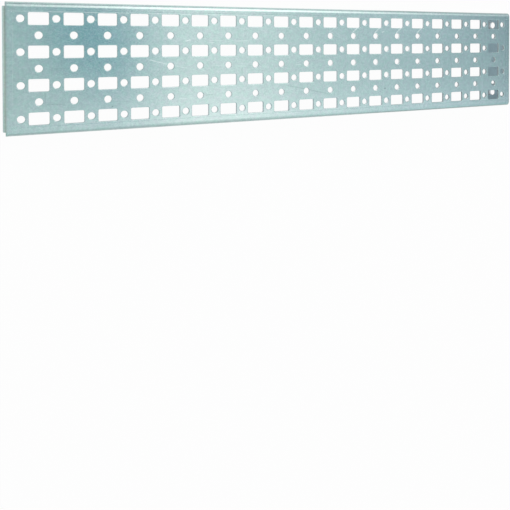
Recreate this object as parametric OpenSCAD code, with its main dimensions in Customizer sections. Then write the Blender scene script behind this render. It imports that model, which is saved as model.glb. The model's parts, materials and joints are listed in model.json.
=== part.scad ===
// Perforated cross rail: one sheet, punched and folded down on all four sides.
// It lies with its perforated face up, on the rim of its four flanges.
// Sizes are in millimetres. X runs along the rail, Y across its face, Z up out of the face.

/* [Rail] */
// Overall length of the face
rail_l = 500; // [250:25:1000]
// Overall width of the face
rail_w = 100; // [75:25:200]
// Overall depth, from the rim of the flanges to the face
rail_d = 30; // [26:1:60]
// Thickness of the sheet
sheet_t = 2; // [1:0.5:3]
// Inside radius of the folds
fold_r = 2; // [0.5:0.5:3]
// How far each side flange stops short of the rail's ends
side_flange_stop = 2; // [1:0.1:4]
// How far each end flange stops short of the rail's sides, which leaves the corner seam open
end_flange_stop = 3.3; // [3.1:0.1:6]

/* [Perforation] */
// Pitch of the holes along and across the face
pitch = 25; // [22:0.5:40]
// Length of a slot along the rail
slot_l = 14.5; // [8:0.5:17]
// Width of a slot across the rail
slot_w = 9.5; // [5:0.5:16]
// Corner radius of a slot
slot_r = 1.1; // [0.2:0.1:2]
// Diameter of the round holes in the face
screw_d = 5.6; // [3:0.1:8]

/* [End flanges] */
// Diameter of the fixing holes
fixing_d = 7; // [4:0.5:10]
// Spacing of the fixing holes in each cluster, both ways
fixing_step = 12.5; // [11:0.5:16]
// Height of the lower fixing holes above the rim
fixing_rim = 6; // [5.5:0.5:9]

/* [Hidden] */
$fn = 64;
galvanised = [0.65, 0.74, 0.75];
// How far a cutter runs past the surface that it cuts
past = 1;
outer_r = fold_r + sheet_t;
// Round holes sit on the pitch, centred on the face, and slots lie halfway between their columns
columns = floor(rail_l / pitch);
rows = floor(rail_w / pitch);
column_x = [for (i = [0 : columns - 1]) (i - (columns - 1) / 2) * pitch];
row_y = [for (i = [0 : rows - 1]) (i - (rows - 1) / 2) * pitch];
between_x = [for (i = [0 : columns - 2]) column_x[i] + pitch / 2];
between_y = [for (i = [0 : rows - 2]) row_y[i] + pitch / 2];
// Fixing holes line up with the outer rows of the face and step inwards from there
fixing_y = [row_y[rows - 1], row_y[rows - 1] - fixing_step];
fixing_z = [fixing_rim, fixing_rim + fixing_step];

// Section of a folded part from z = low to z = top, rounded at its two upper corners
module fold_outline(span, top, radius, low) {
    translate([-span / 2, low])
        square([span, top - radius - low]);
    translate([radius - span / 2, low])
        square([span - 2 * radius, top - low]);
    for (side = [-1, 1])
        translate([side * (span / 2 - radius), top - radius])
            circle(r = radius);
}

// Section of the sheet folded down at both edges of a span
module channel_section(span) {
    difference() {
        fold_outline(span, rail_d, outer_r, 0);
        fold_outline(span - 2 * sheet_t, rail_d - sheet_t, fold_r, -past);
    }
}

// Section drawn across Y, run along X
module along_x(length) {
    rotate([90, 0, 90])
        linear_extrude(height = length, center = true)
            children();
}

// Section drawn across X, run along Y
module along_y(length) {
    rotate([90, 0, 0])
        linear_extrude(height = length, center = true)
            children();
}

// The folded sheet before it is punched, with an open seam at each corner
module folded_sheet() {
    intersection() {
        along_x(rail_l - 2 * side_flange_stop)
            channel_section(rail_w);
        along_y(rail_w + 2 * past)
            fold_outline(rail_l, rail_d, outer_r, -past);
    }
    along_y(rail_w - 2 * end_flange_stop)
        channel_section(rail_l);
}

module slot_outline() {
    square([slot_l, slot_w - 2 * slot_r], center = true);
    square([slot_l - 2 * slot_r, slot_w], center = true);
    for (x = [-1, 1], y = [-1, 1])
        translate([x * (slot_l / 2 - slot_r), y * (slot_w / 2 - slot_r)])
            circle(r = slot_r);
}

module face_pattern() {
    for (y = row_y) {
        for (x = column_x)
            translate([x, y])
                circle(d = screw_d);
        for (x = between_x)
            translate([x, y])
                slot_outline();
    }
    for (x = between_x, y = between_y)
        translate([x, y])
            circle(d = screw_d);
}

// Fixing holes run straight through both end flanges
module fixing_holes() {
    for (side = [-1, 1], y = fixing_y, z = fixing_z)
        translate([-rail_l / 2 - past, side * y, z])
            rotate([0, 90, 0])
                cylinder(d = fixing_d, h = rail_l + 2 * past);
}

module cross_rail() {
    color(galvanised)
        difference() {
            folded_sheet();
            translate([0, 0, rail_d - sheet_t - past])
                linear_extrude(height = sheet_t + 2 * past)
                    face_pattern();
            fixing_holes();
        }
}

cross_rail();
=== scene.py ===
"""Looks of the perforated cross rail.

The punched blank is meshed flat, with a rolled edge at every cut, and folded up into the rail, in place of
the plain CAD solid. A galvanised finish, a pale floor, soft studio light and the photo's camera follow.
Lengths are in metres.
"""
import json
import math

import bpy
import numpy as np
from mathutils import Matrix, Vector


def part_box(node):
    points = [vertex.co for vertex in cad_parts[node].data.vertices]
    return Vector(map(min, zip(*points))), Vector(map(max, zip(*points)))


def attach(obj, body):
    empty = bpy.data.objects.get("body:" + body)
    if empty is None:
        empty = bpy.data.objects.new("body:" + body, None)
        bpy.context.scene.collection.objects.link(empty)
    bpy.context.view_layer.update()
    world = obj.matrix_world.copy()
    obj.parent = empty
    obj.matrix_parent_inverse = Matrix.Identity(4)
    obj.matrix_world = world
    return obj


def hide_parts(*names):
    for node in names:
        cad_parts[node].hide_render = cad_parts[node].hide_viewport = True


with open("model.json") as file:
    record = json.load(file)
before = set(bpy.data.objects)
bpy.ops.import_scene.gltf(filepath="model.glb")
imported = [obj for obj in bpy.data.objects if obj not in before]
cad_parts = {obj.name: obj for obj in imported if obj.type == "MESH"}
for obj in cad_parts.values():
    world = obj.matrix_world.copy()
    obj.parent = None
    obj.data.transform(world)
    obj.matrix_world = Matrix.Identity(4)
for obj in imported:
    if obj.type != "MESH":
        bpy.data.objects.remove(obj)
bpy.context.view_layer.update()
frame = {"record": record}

# Sizes of the rail: its outside from the frame, round holes from the record, the rest as in the CAD source
MM = 0.001
rail_low, rail_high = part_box("cross_rail")
LENGTH = rail_high.x - rail_low.x
WIDTH = rail_high.y - rail_low.y
DEPTH = rail_high.z - rail_low.z
mounts = {mount["name"]: mount for mount in frame["record"]["mounts"]}
outer_fixings = mounts["left_end_outer_fixings"]
inner_fixings = mounts["left_end_inner_fixings"]
SCREW_R = mounts["face_corner_screw_holes"]["dims"]["hole_r_mm"] * MM
FIXING_R = outer_fixings["dims"]["hole_r_mm"] * MM
FIXING_STEP = outer_fixings["dims"]["spacing_y_mm"] * MM
FIXING_LOW = outer_fixings["pos_m"][2] - FIXING_STEP / 2
FIXING_ROWS = [pattern["dims"]["spacing_x_mm"] * MM / 2 for pattern in (outer_fixings, inner_fixings)]
SHEET = 2.0 * MM
FOLD_R = 4.0 * MM
SIDE_FLANGE_STOP = 2.0 * MM
END_FLANGE_STOP = 3.3 * MM
PITCH = 25.0 * MM
SLOT_L = 14.5 * MM
SLOT_W = 9.5 * MM
SLOT_R = 1.1 * MM
COLUMNS = math.floor(LENGTH / PITCH + 0.5)
ROWS = math.floor(WIDTH / PITCH + 0.5)

# Lie of the flat blank: the face ends where the folds begin, and a fold is as long as its middle layer
FACE_X = LENGTH / 2 - FOLD_R
FACE_Y = WIDTH / 2 - FOLD_R
FOLD_LENGTH = (FOLD_R - SHEET / 2) * math.pi / 2
FLANGE = DEPTH - FOLD_R

# Mesh fineness: parts of a cell's sides, a fold, a side flange and a slot's corner
PARTS_ALONG = 8
PARTS_ACROSS = 6
FOLD_PARTS = 8
FLANGE_PARTS = 3
CORNER_PARTS = 4

# Cut edges: drawn in over a quarter of an ellipse on the punched face, and barely broken on the back
ROLL_WIDTH = 0.45 * MM
ROLL_DEPTH = 0.40 * MM
BREAK_R = 0.12 * MM
ROLL_PARTS = 4

# Witness marks of the folding die on both sides of each fold: a shallow groove, this far from where the fold
# starts, and beside it, towards the fold, a line of painted shade, which only the upper fold has
DIE_MARK_AWAY = 2.8 * MM
DIE_MARK_DEPTH = 0.026 * MM
DIE_MARK_WIDTH = 0.32 * MM
DIE_MARK_FADE = 1.5 * MM
SHADE_LINE_OFF = 0.35 * MM
# Where along the rail that line starts, is full, starts to fade and ends
SHADE_LINE_RUN = [-170 * MM, -110 * MM, 10 * MM, 60 * MM]
# Mesh lines that carry them, from the groove towards the fold
DIE_MARK_LINES = [-0.4 * MM, -0.15 * MM, 0.05 * MM, 0.25 * MM, 0.45 * MM, 0.75 * MM]
# How far the sheet sinks between the two marks of a fold, where it starts to bend before the fold itself
FOLD_SINK = 0.08 * MM

# Mesh cell round a slot: its width ends the outer rows of cells at the first mesh line of the die's mark
SLOT_CELL_L = 17.0 * MM
SLOT_CELL_W = 2 * (FACE_Y - DIE_MARK_AWAY + DIE_MARK_LINES[0]) - (ROWS - 1) * PITCH


class Blank:
    """Flat mesh of the sheet: points (u, t) along and across it, and quads that turn anticlockwise."""

    SAME = 1e-7

    def __init__(self):
        self.points = []
        self.found = {}
        self.quads = []
        self.smooth_cut = set()

    def point(self, u, t):
        key = (round(u / self.SAME), round(t / self.SAME))
        if key not in self.found:
            self.found[key] = len(self.points)
            self.points.append((u, t))
        return self.found[key]

    def grid(self, us, ts):
        for u0, u1 in zip(us[:-1], us[1:]):
            for t0, t1 in zip(ts[:-1], ts[1:]):
                corners = ((u0, t0), (u1, t0), (u1, t1), (u0, t1))
                self.quads.append([self.point(u, t) for u, t in corners])

    def holed(self, us, ts, hole, smooth_cut=False):
        """A ring of quads from the border of a cell in to the hole's edge, which may be smoothly cut."""
        border = [(u, ts[0]) for u in us[:-1]] + [(us[-1], t) for t in ts[:-1]]
        border += [(u, ts[-1]) for u in us[:0:-1]] + [(us[0], t) for t in ts[:0:-1]]
        outer, inner = [[self.point(u, t) for u, t in ring] for ring in (border, hole)]
        count = len(border)
        for i in range(count):
            after = (i + 1) % count
            self.quads.append([outer[i], outer[after], inner[after], inner[i]])
        if smooth_cut:
            self.smooth_cut.update(inner)


def parts(low, high, count):
    return list(np.linspace(low, high, count + 1))


def joined(*runs):
    """Several runs of lines, each starting where the last one ends, as one run."""
    line = list(runs[0])
    for run in runs[1:]:
        line += list(run[1:])
    return line


def round_hole(u, t, radius):
    count = 2 * (PARTS_ALONG + PARTS_ACROSS)
    step = 2 * math.pi / count
    start = -math.pi / 2 - step * PARTS_ALONG / 2
    return [(u + radius * math.cos(start + step * i), t + radius * math.sin(start + step * i))
            for i in range(count)]


def slot_hole(u, t):
    """A rounded rectangle with as many points as a round hole, from the middle of its lower left corner."""
    half_u = SLOT_L / 2 - SLOT_R
    half_t = SLOT_W / 2 - SLOT_R
    straights = (PARTS_ALONG - CORNER_PARTS, PARTS_ACROSS - CORNER_PARTS)
    centres = ((-half_u, -half_t), (half_u, -half_t), (half_u, half_t), (-half_u, half_t))
    loop = []
    for corner, (cu, ct) in enumerate(centres):
        turns = [math.pi * (1 + corner / 2 + i / CORNER_PARTS / 2) for i in range(CORNER_PARTS + 1)]
        arc = [(u + cu + SLOT_R * math.cos(a), t + ct + SLOT_R * math.sin(a)) for a in turns]
        loop += arc
        next_u, next_t = centres[(corner + 1) % 4]
        first = math.pi * (1 + (corner + 1) / 2)
        end = (u + next_u + SLOT_R * math.cos(first), t + next_t + SLOT_R * math.sin(first))
        steps = straights[corner % 2]
        for i in range(1, steps):
            share = i / steps
            loop.append(tuple(a * (1 - share) + b * share for a, b in zip(arc[-1], end)))
    turn_to = CORNER_PARTS // 2
    return loop[turn_to:] + loop[:turn_to]


def fold_lines(face_end, stop):
    """Lines across a fold, and which of them lies this far short of the outside, where a flange ends."""
    cut = math.asin((FOLD_R - stop) / FOLD_R) / (math.pi / 2)
    before = max(1, round(cut * FOLD_PARTS))
    shares = joined(parts(0, cut, before), parts(cut, 1, FOLD_PARTS - before))
    return [face_end + share * FOLD_LENGTH for share in shares], before


def mirrored(lines):
    return [-value for value in reversed(lines)]


def die_mark_lines(middle, to_fold):
    return sorted(middle + to_fold * offset for offset in DIE_MARK_LINES)


def cells(count, on_pitch, part_count):
    """Middle and mesh lines of cells along an axis: in turn one on the pitch, this wide, and one between."""
    made = []
    for i in range(2 * count - 1):
        middle = (i - (count - 1)) * PITCH / 2
        half = (PITCH - on_pitch) / 2 if i % 2 else on_pitch / 2
        made.append((middle, parts(middle - half, middle + half, part_count)))
    return made


def punch_face(blank, columns, rows):
    """Round holes and slots by turns along each row, and round holes between the slots of two rows."""
    for i, (u, us) in enumerate(columns):
        for j, (t, ts) in enumerate(rows):
            if i % 2 and not j % 2:
                blank.holed(us, ts, slot_hole(u, t))
            elif i % 2 == j % 2:
                blank.holed(us, ts, round_hole(u, t, SCREW_R), smooth_cut=True)
            else:
                blank.grid(us, ts)


def punch_end_flanges(blank, start_u, rim_u, top, rows):
    """The flat of both end flanges as two columns of cells, with fixing holes in the outer rows."""
    borders = [start_u, rim_u - FIXING_LOW - FIXING_STEP / 2, rim_u]
    fixings = [rim_u - FIXING_LOW - FIXING_STEP, rim_u - FIXING_LOW]
    for start, end, fixing_u in zip(borders[:-1], borders[1:], fixings):
        right_us = parts(start, end, PARTS_ALONG)
        for us, u in ((right_us, fixing_u), (mirrored(right_us), -fixing_u)):
            blank.grid(us, top)
            blank.grid(us, mirrored(top))
            for t, ts in rows:
                if any(math.isclose(abs(t), row) for row in FIXING_ROWS):
                    blank.holed(us, ts, round_hole(u, t, FIXING_R), smooth_cut=True)
                else:
                    blank.grid(us, ts)


def flat_blank():
    """The punched sheet before folding: face, side flanges and end flanges, with the corners cut out."""
    blank = Blank()
    columns = cells(COLUMNS, PITCH - SLOT_CELL_L, PARTS_ALONG)
    rows = cells(ROWS, SLOT_CELL_W, PARTS_ACROSS)
    punch_face(blank, columns, rows)
    pattern_us = joined(*[us for _, us in columns])
    pattern_ts = joined(*[ts for _, ts in rows])
    margin_u = [pattern_us[-1], *die_mark_lines(FACE_X - DIE_MARK_AWAY, 1), FACE_X]
    margin_t = [*die_mark_lines(FACE_Y - DIE_MARK_AWAY, 1), FACE_Y]
    end_fold, end_cut = fold_lines(FACE_X, SIDE_FLANGE_STOP)
    side_fold, side_cut = fold_lines(FACE_Y, END_FLANGE_STOP)

    # Margins of the face and side flanges, which run on a little past the face's ends
    side_mark = die_mark_lines(side_fold[-1] + DIE_MARK_AWAY, -1)
    side_flat = parts(side_mark[-1], side_fold[-1] + FLANGE, FLANGE_PARTS)
    right = joined(margin_u, end_fold[: end_cut + 1])
    side_us = joined(mirrored(right), pattern_us, right)
    side_ts = joined(margin_t, side_fold, [side_fold[-1], *side_mark], side_flat)
    blank.grid(side_us, side_ts)
    blank.grid(side_us, mirrored(side_ts))
    blank.grid(right, pattern_ts)
    blank.grid(mirrored(right), pattern_ts)

    # End flanges: the rest of the fold with the die's mark, then the flat
    top = joined(margin_t, side_fold[: side_cut + 1])
    end_ts = joined(mirrored(top), pattern_ts, top)
    end_mark = die_mark_lines(end_fold[-1] + DIE_MARK_AWAY, -1)
    end_us = joined(end_fold[end_cut:], [end_fold[-1], *end_mark])
    blank.grid(end_us, end_ts)
    blank.grid(mirrored(end_us), end_ts)
    punch_end_flanges(blank, end_mark[-1], end_fold[-1] + FLANGE, top, rows)
    return blank


def folded(distance, face_half, depth):
    """Place, drop below the face and turn of points this far along one axis of the blank."""
    reach = np.abs(distance) - face_half
    turn = np.clip(reach / FOLD_LENGTH, 0, 1) * math.pi / 2
    radius = FOLD_R - depth
    place = np.sign(distance) * (np.minimum(np.abs(distance), face_half) + radius * np.sin(turn))
    drop = radius * (1 - np.cos(turn)) + np.maximum(reach - FOLD_LENGTH, 0)
    return place, drop, turn


def bell(offset):
    return np.exp(-(offset / DIE_MARK_WIDTH) ** 2)


def die_marks(distance, face_half):
    """A fold's grooves, painted shade lines and the sink between them, as shares, along an axis of the
    blank.
    """
    reach = np.abs(distance) - face_half
    from_face = reach + DIE_MARK_AWAY
    from_flange = FOLD_LENGTH + DIE_MARK_AWAY - reach
    groove = bell(from_face) + bell(from_flange)
    shade_line = bell(from_face - SHADE_LINE_OFF) + bell(from_flange - SHADE_LINE_OFF)
    sink = np.sin(math.pi * np.clip(from_face / (from_face + from_flange), 0, 1))
    return np.stack([groove, shade_line, sink])


def marks_at(u, t):
    """The same for all four folds, each as long as its flange, with a painted shade line at the upper one.
    """
    side_run = np.clip((FACE_X + DIE_MARK_FADE - np.abs(u)) / DIE_MARK_FADE, 0, 1)
    end_run = np.clip((FACE_Y + DIE_MARK_FADE - np.abs(t)) / DIE_MARK_FADE, 0, 1)
    side_groove, side_shade_line, side_sink = side_run * die_marks(t, FACE_Y)
    end_groove, _, end_sink = end_run * die_marks(u, FACE_X)
    shade_line_run = np.where(t > 0, np.interp(u, SHADE_LINE_RUN, [0, 1, 1, 0]), 0)
    return side_groove + end_groove, side_shade_line * shade_line_run, side_sink + end_sink


def fold_up(u, t, depth):
    """Points of the folded rail, with die marks, for points of the blank at a depth below its outer skin."""
    groove, _, sink = marks_at(u, t)
    depth = depth + (DIE_MARK_DEPTH * groove + FOLD_SINK * sink) * (1 - depth / SHEET)
    x, end_drop, end_turn = folded(u, FACE_X, depth)
    y, side_drop, side_turn = folded(t, FACE_Y, depth)
    skin_x = folded(u, FACE_X, 0)[0]
    skin_y = folded(t, FACE_Y, 0)[0]
    end_share = np.cos(side_turn)
    side_share = np.cos(end_turn)
    x = skin_x + end_share * (x - skin_x)
    y = skin_y + side_share * (y - skin_y)
    z = DEPTH - depth - end_share * end_drop - side_share * side_drop
    return np.stack([x, y, z], axis=1)


def unit(vectors):
    return vectors / np.linalg.norm(vectors, axis=1, keepdims=True)


def edge_profile():
    """Section of a cut edge from the outer skin to the inner: inset, depth, lean of the normal, bareness."""
    section = []
    for i in range(ROLL_PARTS + 1):
        turn = math.pi / 2 * i / ROLL_PARTS
        inset = ROLL_WIDTH * (1 - math.sin(turn))
        depth = ROLL_DEPTH * (1 - math.cos(turn))
        lean = math.atan2(ROLL_DEPTH * math.sin(turn), ROLL_WIDTH * math.cos(turn))
        section.append((inset, depth, lean, i / ROLL_PARTS))
    section.append((0, SHEET - BREAK_R, math.pi / 2, 1))
    section.append((BREAK_R, SHEET, math.pi, 1))
    return section


def sheet_border(flat, quads):
    """Edges of the border, with the sheet on their left, and two ways out of the sheet at the start of each.

    The first way is as long as an even inset needs, and the second has a length of 1.
    """
    starts = quads.ravel()
    ends = np.roll(quads, -1, axis=1).ravel()
    edges = set(zip(starts.tolist(), ends.tolist()))
    border = np.array(sorted((a, b) for a, b in edges if (b, a) not in edges))
    rim = border[:, 0]
    along = unit(flat[border[:, 1]] - flat[rim])
    right = np.stack([along[:, 1], -along[:, 0]], axis=1)
    leaving = np.zeros_like(flat)
    arriving = np.zeros_like(flat)
    leaving[rim] = right
    arriving[border[:, 1]] = right
    both = leaving[rim] + arriving[rim]
    out = both / (1 + np.sum(leaving[rim] * arriving[rim], axis=1, keepdims=True))
    return border, out, unit(both)


def folded_normals(u, t, depth, normal):
    """Normals of the blank turned into the folded rail."""
    nudge = 1e-6
    way_u = unit(fold_up(u + nudge, t, depth) - fold_up(u - nudge, t, depth))
    way_t = unit(fold_up(u, t + nudge, depth) - fold_up(u, t - nudge, depth))
    way_out = unit(np.cross(way_u, way_t))
    return unit(normal[:, :1] * way_u + normal[:, 1:2] * way_t + normal[:, 2:] * way_out)


def rail_sheet():
    """The folded sheet as one closed mesh. Attributes keep places on the blank, cut edges and die marks."""
    blank = flat_blank()
    flat = np.array(blank.points)
    quads = np.array(blank.quads)
    count = len(flat)
    border, out, out_unit = sheet_border(flat, quads)
    rim = border[:, 0]
    rim_count = len(rim)
    smooth_rim = np.isin(rim, sorted(blank.smooth_cut)).astype(float)

    # Layers of points: outer skin, inner skin, then the edge's own rings between them
    section = edge_profile()
    layers = []
    for inset, level, lean, bareness in (section[0], section[-1]):
        skin = flat.copy()
        skin[rim] -= inset * out
        bare = np.zeros(count)
        bare[rim] = bareness
        smooth = np.zeros(count)
        smooth[rim] = smooth_rim
        normal = np.tile([0, 0, math.cos(lean)], (count, 1))
        layers.append((skin, np.full(count, level), normal, bare, smooth))
    ring_ids = [rim]
    for k, (inset, level, lean, bareness) in enumerate(section[1:-1]):
        normal = np.column_stack([out_unit * math.sin(lean), np.full(rim_count, math.cos(lean))])
        bare = np.full(rim_count, bareness)
        layers.append((flat[rim] - inset * out, np.full(rim_count, level), normal, bare, smooth_rim))
        ring_ids.append(2 * count + k * rim_count + np.arange(rim_count))
    ring_ids.append(count + rim)
    places, depth, normal, bare, smooth = [np.concatenate(values) for values in zip(*layers)]
    u, t = places.T

    # Faces: both skins, then bands of the edge from ring to ring
    order = {vertex: i for i, vertex in enumerate(rim.tolist())}
    follower = np.array([order[vertex] for vertex in border[:, 1].tolist()])
    faces = quads.tolist() + (quads[:, ::-1] + count).tolist()
    for upper, lower in zip(ring_ids[:-1], ring_ids[1:]):
        faces += np.stack([upper, lower, lower[follower], upper[follower]], axis=1).tolist()

    mesh = bpy.data.meshes.new("rail_sheet")
    mesh.from_pydata(fold_up(u, t, depth).tolist(), [], faces)
    mesh.polygons.foreach_set("use_smooth", [True] * len(faces))
    groove, shade_line, _ = np.clip(marks_at(u, t), 0, 1) * (1 - depth / SHEET)
    shares = {"bare_edge": bare, "smooth_cut": smooth, "die_groove": groove, "die_shade_line": shade_line}
    for name, values in shares.items():
        mesh.attributes.new(name, "FLOAT", "POINT").data.foreach_set("value", values)
    sheet_place = np.column_stack([u, t, -depth]).ravel()
    mesh.attributes.new("sheet_place", "FLOAT_VECTOR", "POINT").data.foreach_set("vector", sheet_place)
    mesh.normals_split_custom_set_from_vertices(folded_normals(u, t, depth, normal).tolist())
    mesh.update()
    rail = bpy.data.objects.new("rail_sheet", mesh)
    bpy.context.scene.collection.objects.link(rail)
    return rail


class Graph:
    """Short names for the shader nodes that the materials and the studio are made of."""

    def __init__(self, tree):
        self.tree = tree
        tree.nodes.clear()

    def give(self, socket, value):
        if isinstance(value, bpy.types.NodeSocket):
            self.tree.links.new(value, socket)
        else:
            socket.default_value = value

    def add(self, kind, settings=None, **inputs):
        made = self.tree.nodes.new("ShaderNode" + kind)
        for name, value in (settings or {}).items():
            setattr(made, name, value)
        for name, value in inputs.items():
            self.give(made.inputs[name.replace("_", " ")], value)
        return made

    def operate(self, kind, operation, values):
        made = self.add(kind, {"operation": operation})
        for socket, value in zip(made.inputs, values):
            self.give(socket, value)
        return made.outputs

    def math(self, operation, *values):
        return self.operate("Math", operation, values)["Value"]

    def vector(self, operation, *values):
        return self.operate("VectorMath", operation, values)["Vector"]

    def dot(self, vector, way):
        return self.operate("VectorMath", "DOT_PRODUCT", (vector, way))["Value"]

    def attribute(self, name, output="Fac"):
        return self.add("Attribute", {"attribute_name": name}).outputs[output]

    def noise(self, vector, scale):
        return self.add("TexNoise", Vector=vector, Scale=scale).outputs["Fac"]

    def span(self, value, low, high, to_low=0.0, to_high=1.0, smooth=False):
        """The value carried from one range to another, with its ends held."""
        kind = "SMOOTHSTEP" if smooth else "LINEAR"
        made = self.add("MapRange", {"interpolation_type": kind}, Value=value)
        for name, number in (("From Min", low), ("From Max", high), ("To Min", to_low), ("To Max", to_high)):
            made.inputs[name].default_value = number
        return made.outputs[0]

    def blend(self, share, low, high, mode="MIX"):
        """Two colours mixed. Inputs 6 and 7 and output 2 are the ones that a Mix node uses for colours."""
        made = self.add("Mix", {"data_type": "RGBA", "blend_type": mode})
        for number, value in ((0, share), (6, low), (7, high)):
            self.give(made.inputs[number], value)
        return made.outputs[2]

    def ramp(self, value, stops, kind="EASE"):
        """Colours along a value, from stops that run from 0 to 1."""
        made = self.add("ValToRGB", Fac=value)
        made.color_ramp.interpolation = kind
        elements = made.color_ramp.elements
        while len(elements) < len(stops):
            elements.new(1.0)
        for element, (position, colour) in zip(elements, stops):
            element.position = position
            element.color = (*colour, 1)
        return made.outputs[0]

    def finish(self, shader, kind="OutputMaterial"):
        self.tree.links.new(shader.outputs[0], self.add(kind).inputs[0])


# Marks that show bright on the zinc, in millimetres of the flat blank: ends of each, half width and
# strength.
# The last two are painted glints along the die marks of the upper and left-hand folds; the others are
# scratches
SCRATCHES_AND_GLINTS = [
    ((-145.5, 6.2), (-125.5, 0.9), 0.7, 0.75),
    ((-123.5, 0.4), (-110.0, -2.2), 0.7, 0.35),
    ((-113.2, 20.6), (-107.6, 21.3), 0.9, 0.9),
    ((-92.7, 20.9), (-82.1, 21.2), 0.5, 0.45),
    ((-92.7, 19.5), (-87.8, 19.1), 0.5, 0.6),
    ((-69.5, 20.4), (-55.5, 20.6), 0.6, 0.5),
    ((-166.5, 7.8), (-160.3, 7.1), 0.5, 0.35),
    ((-191.6, 42.1), (-182.0, 35.5), 0.6, 0.7),
    ((81.5, 28.3), (85.0, 29.8), 0.9, 0.9),
    ((-92.0, -0.3), (-77.0, -0.3), 0.5, 0.25),
    ((-67.0, -1.2), (-56.5, -1.2), 0.5, 0.25),
    ((-12.0, -0.9), (-5.0, -0.9), 0.6, 0.5),
    ((-119.0, -27.0), (-110.5, -27.4), 0.8, 0.35),
    ((-250.0, 42.7), (-165.0, 42.7), 0.45, 0.5),
    ((-243.0, 48.0), (-243.0, -38.0), 0.45, 0.25),
]
# Marks painted darker on the zinc, given the same way; the last two are specks of dirt
DARK_MARKS = [
    ((-220.8, -17.0), (-220.8, -28.0), 0.5, 0.3),
    ((-220.0, -27.0), (-205.5, -27.9), 0.5, 0.25),
    ((-173.0, -26.7), (-156.5, -27.8), 0.5, 0.2),
    ((-215.5, -0.3), (-203.0, -0.6), 0.5, 0.2),
    ((-24.0, -18.4), (25.7, -29.2), 0.55, 0.4),
    ((-96.5, -25.1), (-88.5, -24.9), 0.55, 0.5),
    ((-62.7, -1.5), (-62.7, -10.0), 0.7, 0.4),
    ((-86.2, 30.0), (-86.2, 23.0), 0.5, 0.2),
    ((84.5, -25.8), (86.5, -25.8), 1.0, 0.9),
    ((-172.1, -30.8), (-171.1, -30.9), 0.7, 1.0),
]
# A mark that the punch left under the upper row of slots, at the same place of each stroke, painted as a
# bright glint: ends, half width
STROKE_GLINT = ((5.1, 33.4), (-2.3, 27.4), 0.9)
# How strong that painted glint is along the rail, in millimetres from the middle, where the light catches it
STROKE_GLINT_STRENGTH = [
    (-250, 0),
    (-20, 0),
    (0, 0.2),
    (25, 0.45),
    (50, 0.9),
    (125, 1.0),
    (150, 0.5),
    (170, 0),
    (250, 0),
]

# Shares of a mark's length, either way from its middle, at which it starts to fade and ends
MARK_FADE = (0.3, 0.5)
# Share of its half width that is at full strength
MARK_CORE = 0.2

ZINC_DARK = (0.500, 0.668, 0.655, 1)
ZINC_LIGHT = (0.700, 0.892, 0.865, 1)
TINT_LILAC = (1.025, 0.98, 1.01, 1)
TINT_TEAL = (0.975, 1.02, 1.0, 1)
# Painted light on the inner skin: lighter and bluer than the outer zinc
INNER_SKIN_PAINTED_LIGHT = (0.70, 0.90, 0.97, 1)
CUT_STEEL = (0.67, 0.74, 0.77, 1)
# Round and fixing holes' walls: painted lighter than the slots' walls, a painted difference of light and
# shade
SMOOTH_CUT_PAINTED_LIGHT = (0.82, 0.86, 0.88, 1)
# Colour of scratches and of painted glints
SCUFF_AND_GLINT = (0.84, 0.99, 0.97, 1)
DARK_MARK_COLOUR = (0.33, 0.45, 0.44, 1)
# Darkening along the upper fold's die mark: painted shade
DIE_LINE_SHADE = (0.84, 0.85, 0.86, 1)
# Roughness of the zinc from the low to the high of its grain, and of punched and smoothly cut walls
ZINC_ROUGHNESS = (0.16, 0.22)
CUT_ROUGHNESS = (0.36, 0.26)
SCUFF_ROUGHNESS = 0.38
GROOVE_ROUGHNESS = 0.28
# Patterns of the zinc's tone: scale per metre and weight
TONE_PATTERNS = [(60.0, 0.14), (280.0, 0.30), (600.0, 0.26)]
# The hue has a pattern of its own, from another place of the noise
HUE_SCALE = 260.0
HUE_OFFSET = (1.0, 2.0, 0.0)
# Rolled grain: its weight in the tone, scale per metre, stretch along the rail, and relief
GRAIN_TONE = 0.30
GRAIN_SCALE = 1500.0
GRAIN_STRETCH = (0.45, 1.0, 1.0)
GRAIN_STRENGTH = 0.5
GRAIN_HEIGHT = 0.018 * MM
# Ranges of the noise that are spread over tone, hue and roughness
TONE_SPAN = (0.33, 0.67)
HUE_SPAN = (0.38, 0.62)
ROUGHNESS_SPAN = (0.25, 0.75)
# Heights from the outer skin between which, going down, the outer marks end and the inner skin's painted
# light starts
OUTER_SKIN = (-0.25 * SHEET, -0.05 * SHEET)
INNER_SKIN = (-SHEET, -0.9 * SHEET)
# Bareness of a rolled edge from which steel shows through its zinc
BARE_FROM = 0.7


def straight_mark(graph, place, ends, half_width):
    """How much of a straight mark lies at a place: 1 in its middle, and 0 at its ends and sides."""
    (u0, t0), (u1, t1) = [(u * MM, t * MM) for u, t in ends]
    length = math.hypot(u1 - u0, t1 - t0)
    way_u = (u1 - u0) / length
    way_t = (t1 - t0) / length
    offset = graph.vector("SUBTRACT", place, ((u0 + u1) / 2, (t0 + t1) / 2, 0))
    along = graph.math("ABSOLUTE", graph.dot(offset, (way_u, way_t, 0)))
    across = graph.math("ABSOLUTE", graph.dot(offset, (-way_t, way_u, 0)))
    in_length = graph.span(along, *[length * share for share in MARK_FADE], 1.0, 0.0)
    in_width = graph.span(across, half_width * MM * MARK_CORE, half_width * MM, 1.0, 0.0)
    return graph.math("MULTIPLY", in_length, in_width)


def listed_marks(graph, place, marks):
    """The strongest of a list of straight marks at a place, as a share."""
    share = None
    for first, last, half_width, strength in marks:
        mark = graph.math("MULTIPLY", straight_mark(graph, place, (first, last), half_width), strength)
        share = mark if share is None else graph.math("MAXIMUM", share, mark)
    return share


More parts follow.
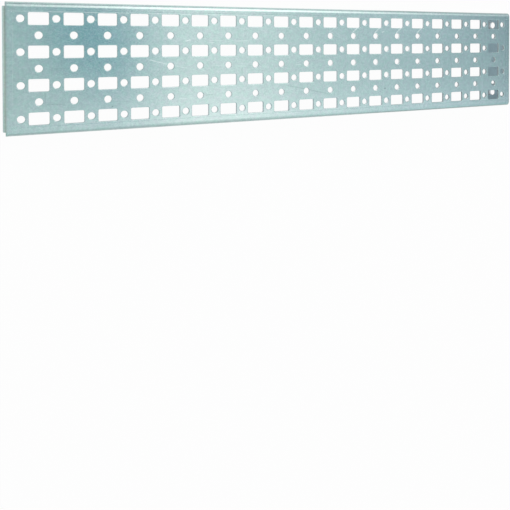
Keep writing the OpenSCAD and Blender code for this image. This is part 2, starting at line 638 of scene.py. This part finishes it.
def stroke_glints(graph, place):
    """The punch's marks, one for each stroke, painted as glints, as a share."""
    place_u, place_t, _ = graph.add("SeparateXYZ", Vector=place).outputs
    in_stroke = graph.math("WRAP", place_u, PITCH / 2, -PITCH / 2)
    stroke_place = graph.add("CombineXYZ", X=in_stroke, Y=place_t, Z=0.0).outputs[0]
    first, last, half_width = STROKE_GLINT
    mark = straight_mark(graph, stroke_place, (first, last), half_width)
    far = LENGTH / 2
    stops = [((u * MM + far) / LENGTH, (strength,) * 3) for u, strength in STROKE_GLINT_STRENGTH]
    strength = graph.ramp(graph.span(place_u, -far, far), stops, "LINEAR")
    return graph.math("MULTIPLY", mark, strength)


def zinc_colour(graph, place, grain):
    """The cloudy and grainy colour of the zinc."""
    tone = graph.math("MULTIPLY", graph.span(grain, *TONE_SPAN), GRAIN_TONE)
    for scale, weight in TONE_PATTERNS:
        share = graph.math("MULTIPLY", graph.span(graph.noise(place, scale), *TONE_SPAN), weight)
        tone = graph.math("ADD", tone, share)
    zinc = graph.blend(tone, ZINC_DARK, ZINC_LIGHT)
    hue = graph.span(graph.noise(graph.vector("ADD", place, HUE_OFFSET), HUE_SCALE), *HUE_SPAN)
    return graph.blend(1.0, zinc, graph.blend(hue, TINT_LILAC, TINT_TEAL), "MULTIPLY")


def galvanised():
    """Zinc-coated sheet with rolled grain and cloudy tone, a few marks, and bare steel at the cut edges."""
    material = bpy.data.materials.new("galvanised_steel")
    material.use_nodes = True
    graph = Graph(material.node_tree)
    place = graph.attribute("sheet_place", "Vector")
    smooth_cut = graph.attribute("smooth_cut")
    shade_line = graph.attribute("die_shade_line")
    below = graph.add("SeparateXYZ", Vector=place).outputs[2]
    outside = graph.span(below, *OUTER_SKIN)
    inside = graph.span(below, *INNER_SKIN, 1.0, 0.0)
    cut = graph.span(graph.attribute("bare_edge"), BARE_FROM, 1.0)
    darkened = graph.math("MULTIPLY", listed_marks(graph, place, DARK_MARKS), outside)
    # Scratches, and painted glints on the punch's marks and along two die marks, lighten the zinc
    bright = graph.math("MAXIMUM", stroke_glints(graph, place), listed_marks(graph, place, SCRATCHES_AND_GLINTS))
    scuff_and_glint = graph.math("MULTIPLY", bright, outside)
    grain = graph.noise(graph.vector("MULTIPLY", place, GRAIN_STRETCH), GRAIN_SCALE)

    colour = zinc_colour(graph, place, grain)
    # Painted shade: the zinc is darkened along a line beside the upper fold's die mark
    colour = graph.blend(shade_line, colour, graph.blend(1.0, colour, DIE_LINE_SHADE, "MULTIPLY"))
    # Painted light: the inner skin is coloured lighter and bluer
    colour = graph.blend(inside, colour, INNER_SKIN_PAINTED_LIGHT)
    colour = graph.blend(darkened, colour, DARK_MARK_COLOUR)
    # Painted light and shade: walls of round and fixing holes are coloured lighter than the slots' walls
    colour = graph.blend(cut, colour, graph.blend(smooth_cut, CUT_STEEL, SMOOTH_CUT_PAINTED_LIGHT))
    colour = graph.blend(scuff_and_glint, colour, SCUFF_AND_GLINT)

    roughness = graph.span(grain, *ROUGHNESS_SPAN, *ZINC_ROUGHNESS)
    cut_roughness = graph.span(smooth_cut, 0.0, 1.0, *CUT_ROUGHNESS)
    groove = graph.attribute("die_groove")
    for share, rough in ((cut, cut_roughness), (groove, GROOVE_ROUGHNESS), (scuff_and_glint, SCUFF_ROUGHNESS)):
        roughness = graph.math("MAXIMUM", roughness, graph.math("MULTIPLY", share, rough))
    bump = graph.add("Bump", Strength=GRAIN_STRENGTH, Distance=GRAIN_HEIGHT, Height=grain)
    shader = graph.add("BsdfPrincipled", Base_Color=colour, Metallic=1.0, Roughness=roughness,
                       Normal=bump.outputs[0])
    graph.finish(shader)
    return material


# Camera of the photo, with its turn in degrees, and its lens and sensor in millimetres. The lens axis meets
# the frame near its top, this many pixels down.
FRAME_PIXELS = 510
AXIS_PIXEL_Y = 48.31
CAMERA_PLACE = (-221.43 * MM, 20.45 * MM, 452.37 * MM)
CAMERA_TURN = (-0.766, -22.023, -0.115)
LENS = 36.857
SENSOR = 36.0
CLIP_START = 10 * MM


def photo_camera():
    data = bpy.data.cameras.new("photo_camera")
    data.lens = LENS
    data.sensor_width = SENSOR
    data.shift_y = (AXIS_PIXEL_Y - FRAME_PIXELS / 2) / FRAME_PIXELS
    data.clip_start = CLIP_START
    camera = bpy.data.objects.new("photo_camera", data)
    camera.location = CAMERA_PLACE
    camera.rotation_euler = [math.radians(angle) for angle in CAMERA_TURN]
    bpy.context.scene.collection.objects.link(camera)
    bpy.context.scene.camera = camera


# Floor: half of its side, how white it shows to the camera, and its own paint
FLOOR_HALF = 4.0
FLOOR_WHITE = 0.97
FLOOR_PAINT = (0.7, 0.7, 0.7, 1)
# How white the floor shows in metal, and what is left of that past the rail's right-hand part, as painted
# shade
FLOOR_WHITE_IN_METAL = 0.75
FLOOR_DIM_IN_METAL = 0.21
METAL_SHADE_RIGHT = (105 * MM, 135 * MM)
# The share of it that is left past the rail's lower side and left-hand end, as painted shade
PAPER_SHADE = 0.45
PAPER_SHADE_Y = (-60 * MM, -22 * MM)
PAPER_SHADE_LEFT = 0.58
PAPER_SHADE_X = (-300 * MM, -60 * MM)


def pale_floor():
    """A pale floor that shows white, keeps a faint shadow, and shows in the metal with painted shade."""
    half = FLOOR_HALF
    mesh = bpy.data.meshes.new("floor")
    corners = [(-half, -half, 0), (half, -half, 0), (half, half, 0), (-half, half, 0)]
    mesh.from_pydata(corners, [], [(0, 1, 2, 3)])
    floor = bpy.data.objects.new("floor", mesh)
    bpy.context.scene.collection.objects.link(floor)
    material = bpy.data.materials.new("floor_white")
    material.use_nodes = True
    graph = Graph(material.node_tree)
    path = graph.add("LightPath").outputs
    seen = graph.math("MAXIMUM", path["Is Camera Ray"], path["Is Transmission Ray"])
    white = graph.math("MULTIPLY", seen, FLOOR_WHITE)
    floor_x, floor_y, _ = graph.add("SeparateXYZ", Vector=graph.add("TexCoord").outputs["Object"]).outputs
    # Painted shade: the floor shows darker in the metal past the rail's right-hand part, lower side and left
    # end
    shaded_glow = graph.span(floor_x, *METAL_SHADE_RIGHT, FLOOR_WHITE_IN_METAL, FLOOR_DIM_IN_METAL)
    shaded_glow = graph.math("MULTIPLY", shaded_glow, graph.span(floor_y, *PAPER_SHADE_Y, PAPER_SHADE, 1.0))
    shaded_glow = graph.math("MULTIPLY", shaded_glow, graph.span(floor_x, *PAPER_SHADE_X, PAPER_SHADE_LEFT, 1.0))
    white_in_metal = graph.math("MULTIPLY", path["Is Glossy Ray"], shaded_glow)
    share = graph.math("MAXIMUM", white, white_in_metal)
    paint = graph.add("BsdfDiffuse", Color=FLOOR_PAINT)
    glow = graph.add("Emission", Color=(1, 1, 1, 1), Strength=1.0)
    mixed = graph.add("MixShader", Fac=share)
    material.node_tree.links.new(paint.outputs[0], mixed.inputs[1])
    material.node_tree.links.new(glow.outputs[0], mixed.inputs[2])
    graph.finish(mixed)
    mesh.materials.append(material)


# Studio round the rail: its light along the rail, by degrees from straight up towards the right-hand end
ALONG_RAIL = [
    (-90, (0.62, 0.65, 0.57)),
    (-55, (0.40, 0.42, 0.40)),
    (-32, (0.51, 0.55, 0.56)),
    (-17, (0.505, 0.58, 0.585)),
    (-5, (0.525, 0.605, 0.615)),
    (2.5, (0.58, 0.64, 0.65)),
    (8.1, (0.58, 0.64, 0.67)),
    (14.6, (0.94, 0.95, 0.94)),
    (21.1, (0.86, 0.88, 0.88)),
    (29.5, (0.645, 0.705, 0.725)),
    (40.9, (0.54, 0.61, 0.65)),
    (51.2, (0.345, 0.41, 0.455)),
    (60, (0.34, 0.39, 0.41)),
    (90, (0.55, 0.57, 0.55)),
]
# The same light across the rail, as half of a share of that, by degrees of roll towards its upper side
ACROSS_RAIL = [
    (-90, (0.33, 0.33, 0.33)),
    (-58, (0.49, 0.49, 0.49)),
    (-30, (0.535, 0.525, 0.525)),
    (-14, (0.59, 0.55, 0.555)),
    (-10, (0.70, 0.64, 0.645)),
    (-4.8, (0.487, 0.48, 0.48)),
    (3, (0.495, 0.495, 0.50)),
    (6, (0.45, 0.45, 0.455)),
    (58, (0.45, 0.45, 0.45)),
    (78, (0.40, 0.40, 0.40)),
    (90, (0.35, 0.35, 0.35)),
]
# Strength that makes up for those halves, and that the colour of the lamp below is written for
LIGHT_STRENGTH = 2.0
# Dim and bright spots of the studio: tilt and roll of the middle, slant, how far it reaches both ways, how
# much of that is even, and what it makes of the light. The first is the photographer overhead, the next two
# lie towards the right-hand end, the fourth is under the lamp, and the others lie towards the lower side.
SPOTS = [
    (4.6, 0.6, 0.35, 5.3, 7.6, 0.45, (0.12, 0.48, 0.61, 1)),
    (51.0, 4.5, 0.0, 11.0, 8.0, 0.3, (0.78, 0.78, 0.81, 1)),
    (41.0, 5.0, 0.0, 9.0, 6.0, 0.3, (1.20, 1.15, 1.16, 1)),
    (7.0, 83.0, 0.0, 30.0, 35.0, 0.3, (0.72, 0.72, 0.75, 1)),
    (40.0, -60.0, 0.0, 60.0, 53.0, 0.93, (1.16, 1.14, 1.13, 1)),
    (46.0, -72.0, 0.0, 18.0, 30.0, 0.4, (1.20, 1.20, 1.20, 1)),
    (17.0, -55.0, 0.0, 12.0, 48.0, 0.4, (0.77, 0.79, 0.79, 1)),
    (37.0, -6.5, 0.0, 13.0, 4.5, 0.2, (0.90, 0.94, 0.93, 1)),
]
# Long soft lamp beside the upper side: its colour, its run along the rail, and its start and end in roll
LAMP_COLOUR = (0.50, 0.41, 0.395, 1)
LAMP_ALONG = [
    (-90, 0.0),
    (-26, 0.1),
    (-2, 0.38),
    (2.5, 0.56),
    (7, 0.9),
    (12, 1.0),
    (29.5, 0.9),
    (37, 0.53),
    (46.6, 0.27),
    (60, 0.2),
    (90, 0.1),
]
LAMP_START = (5.5, 14.5)
LAMP_END = (54.0, 92.0)
# How many degrees of roll further off it starts along its run, as shares of the first number
LAMP_LEAN = 10.0
LAMP_LEAN_ALONG = [(-90, 0.5), (3, 0.5), (12, 0.0), (20, 0.0), (33, 0.7), (45, 0.9), (90, 0.9)]


def by_angle(graph, angle, stops, kind="EASE"):
    """Colours along an angle from -90 to 90 degrees."""
    shares = [((degrees + 90) / 180, colour) for degrees, colour in stops]
    return graph.ramp(graph.span(angle, -90.0, 90.0), shares, kind)


def greys(stops):
    return [(degrees, (share,) * 3) for degrees, share in stops]


def studio_light():
    world = bpy.data.worlds.new("studio")
    bpy.context.scene.world = world
    world.use_nodes = True
    graph = Graph(world.node_tree)
    way = graph.add("TexCoord").outputs["Generated"]
    way_x, way_y, way_z = graph.add("SeparateXYZ", Vector=way).outputs
    tilt = graph.math("DEGREES", graph.math("ARCSINE", way_x))
    roll = graph.math("DEGREES", graph.math("ARCTAN2", way_y, way_z))
    along = by_angle(graph, tilt, ALONG_RAIL)
    across = by_angle(graph, roll, ACROSS_RAIL)
    light = graph.blend(1.0, along, across, "MULTIPLY")

    lamp = by_angle(graph, tilt, greys(LAMP_ALONG))
    lean = by_angle(graph, tilt, greys(LAMP_LEAN_ALONG), "LINEAR")
    leaning = graph.math("SUBTRACT", roll, graph.math("MULTIPLY", lean, LAMP_LEAN))
    lamp = graph.math("MULTIPLY", lamp, graph.span(leaning, *LAMP_START, smooth=True))
    lamp = graph.math("MULTIPLY", lamp, graph.span(roll, *LAMP_END, 1.0, 0.0, smooth=True))
    light = graph.blend(lamp, light, LAMP_COLOUR, "ADD")

    def share_off(angle, middle, reach):
        off = graph.math("DIVIDE", graph.math("SUBTRACT", angle, middle), reach)
        return graph.math("MULTIPLY", off, off)

    for spot_tilt, spot_roll, slant, tilt_reach, roll_reach, even, left in SPOTS:
        slanted = graph.math("MULTIPLY_ADD", roll, slant, tilt)
        off_tilt = share_off(slanted, spot_tilt + slant * spot_roll, tilt_reach)
        both = graph.math("ADD", off_tilt, share_off(roll, spot_roll, roll_reach))
        clear = graph.span(graph.math("SQRT", both), even, 1.0, smooth=True)
        light = graph.blend(1.0, light, graph.blend(clear, left, (1, 1, 1, 1)), "MULTIPLY")

    graph.finish(graph.add("Background", Color=light, Strength=LIGHT_STRENGTH), "OutputWorld")


rail = rail_sheet()
rail.data.materials.append(galvanised())
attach(rail, "root")
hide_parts("cross_rail")
pale_floor()
studio_light()
photo_camera()
bpy.context.scene.view_settings.view_transform = "Standard"
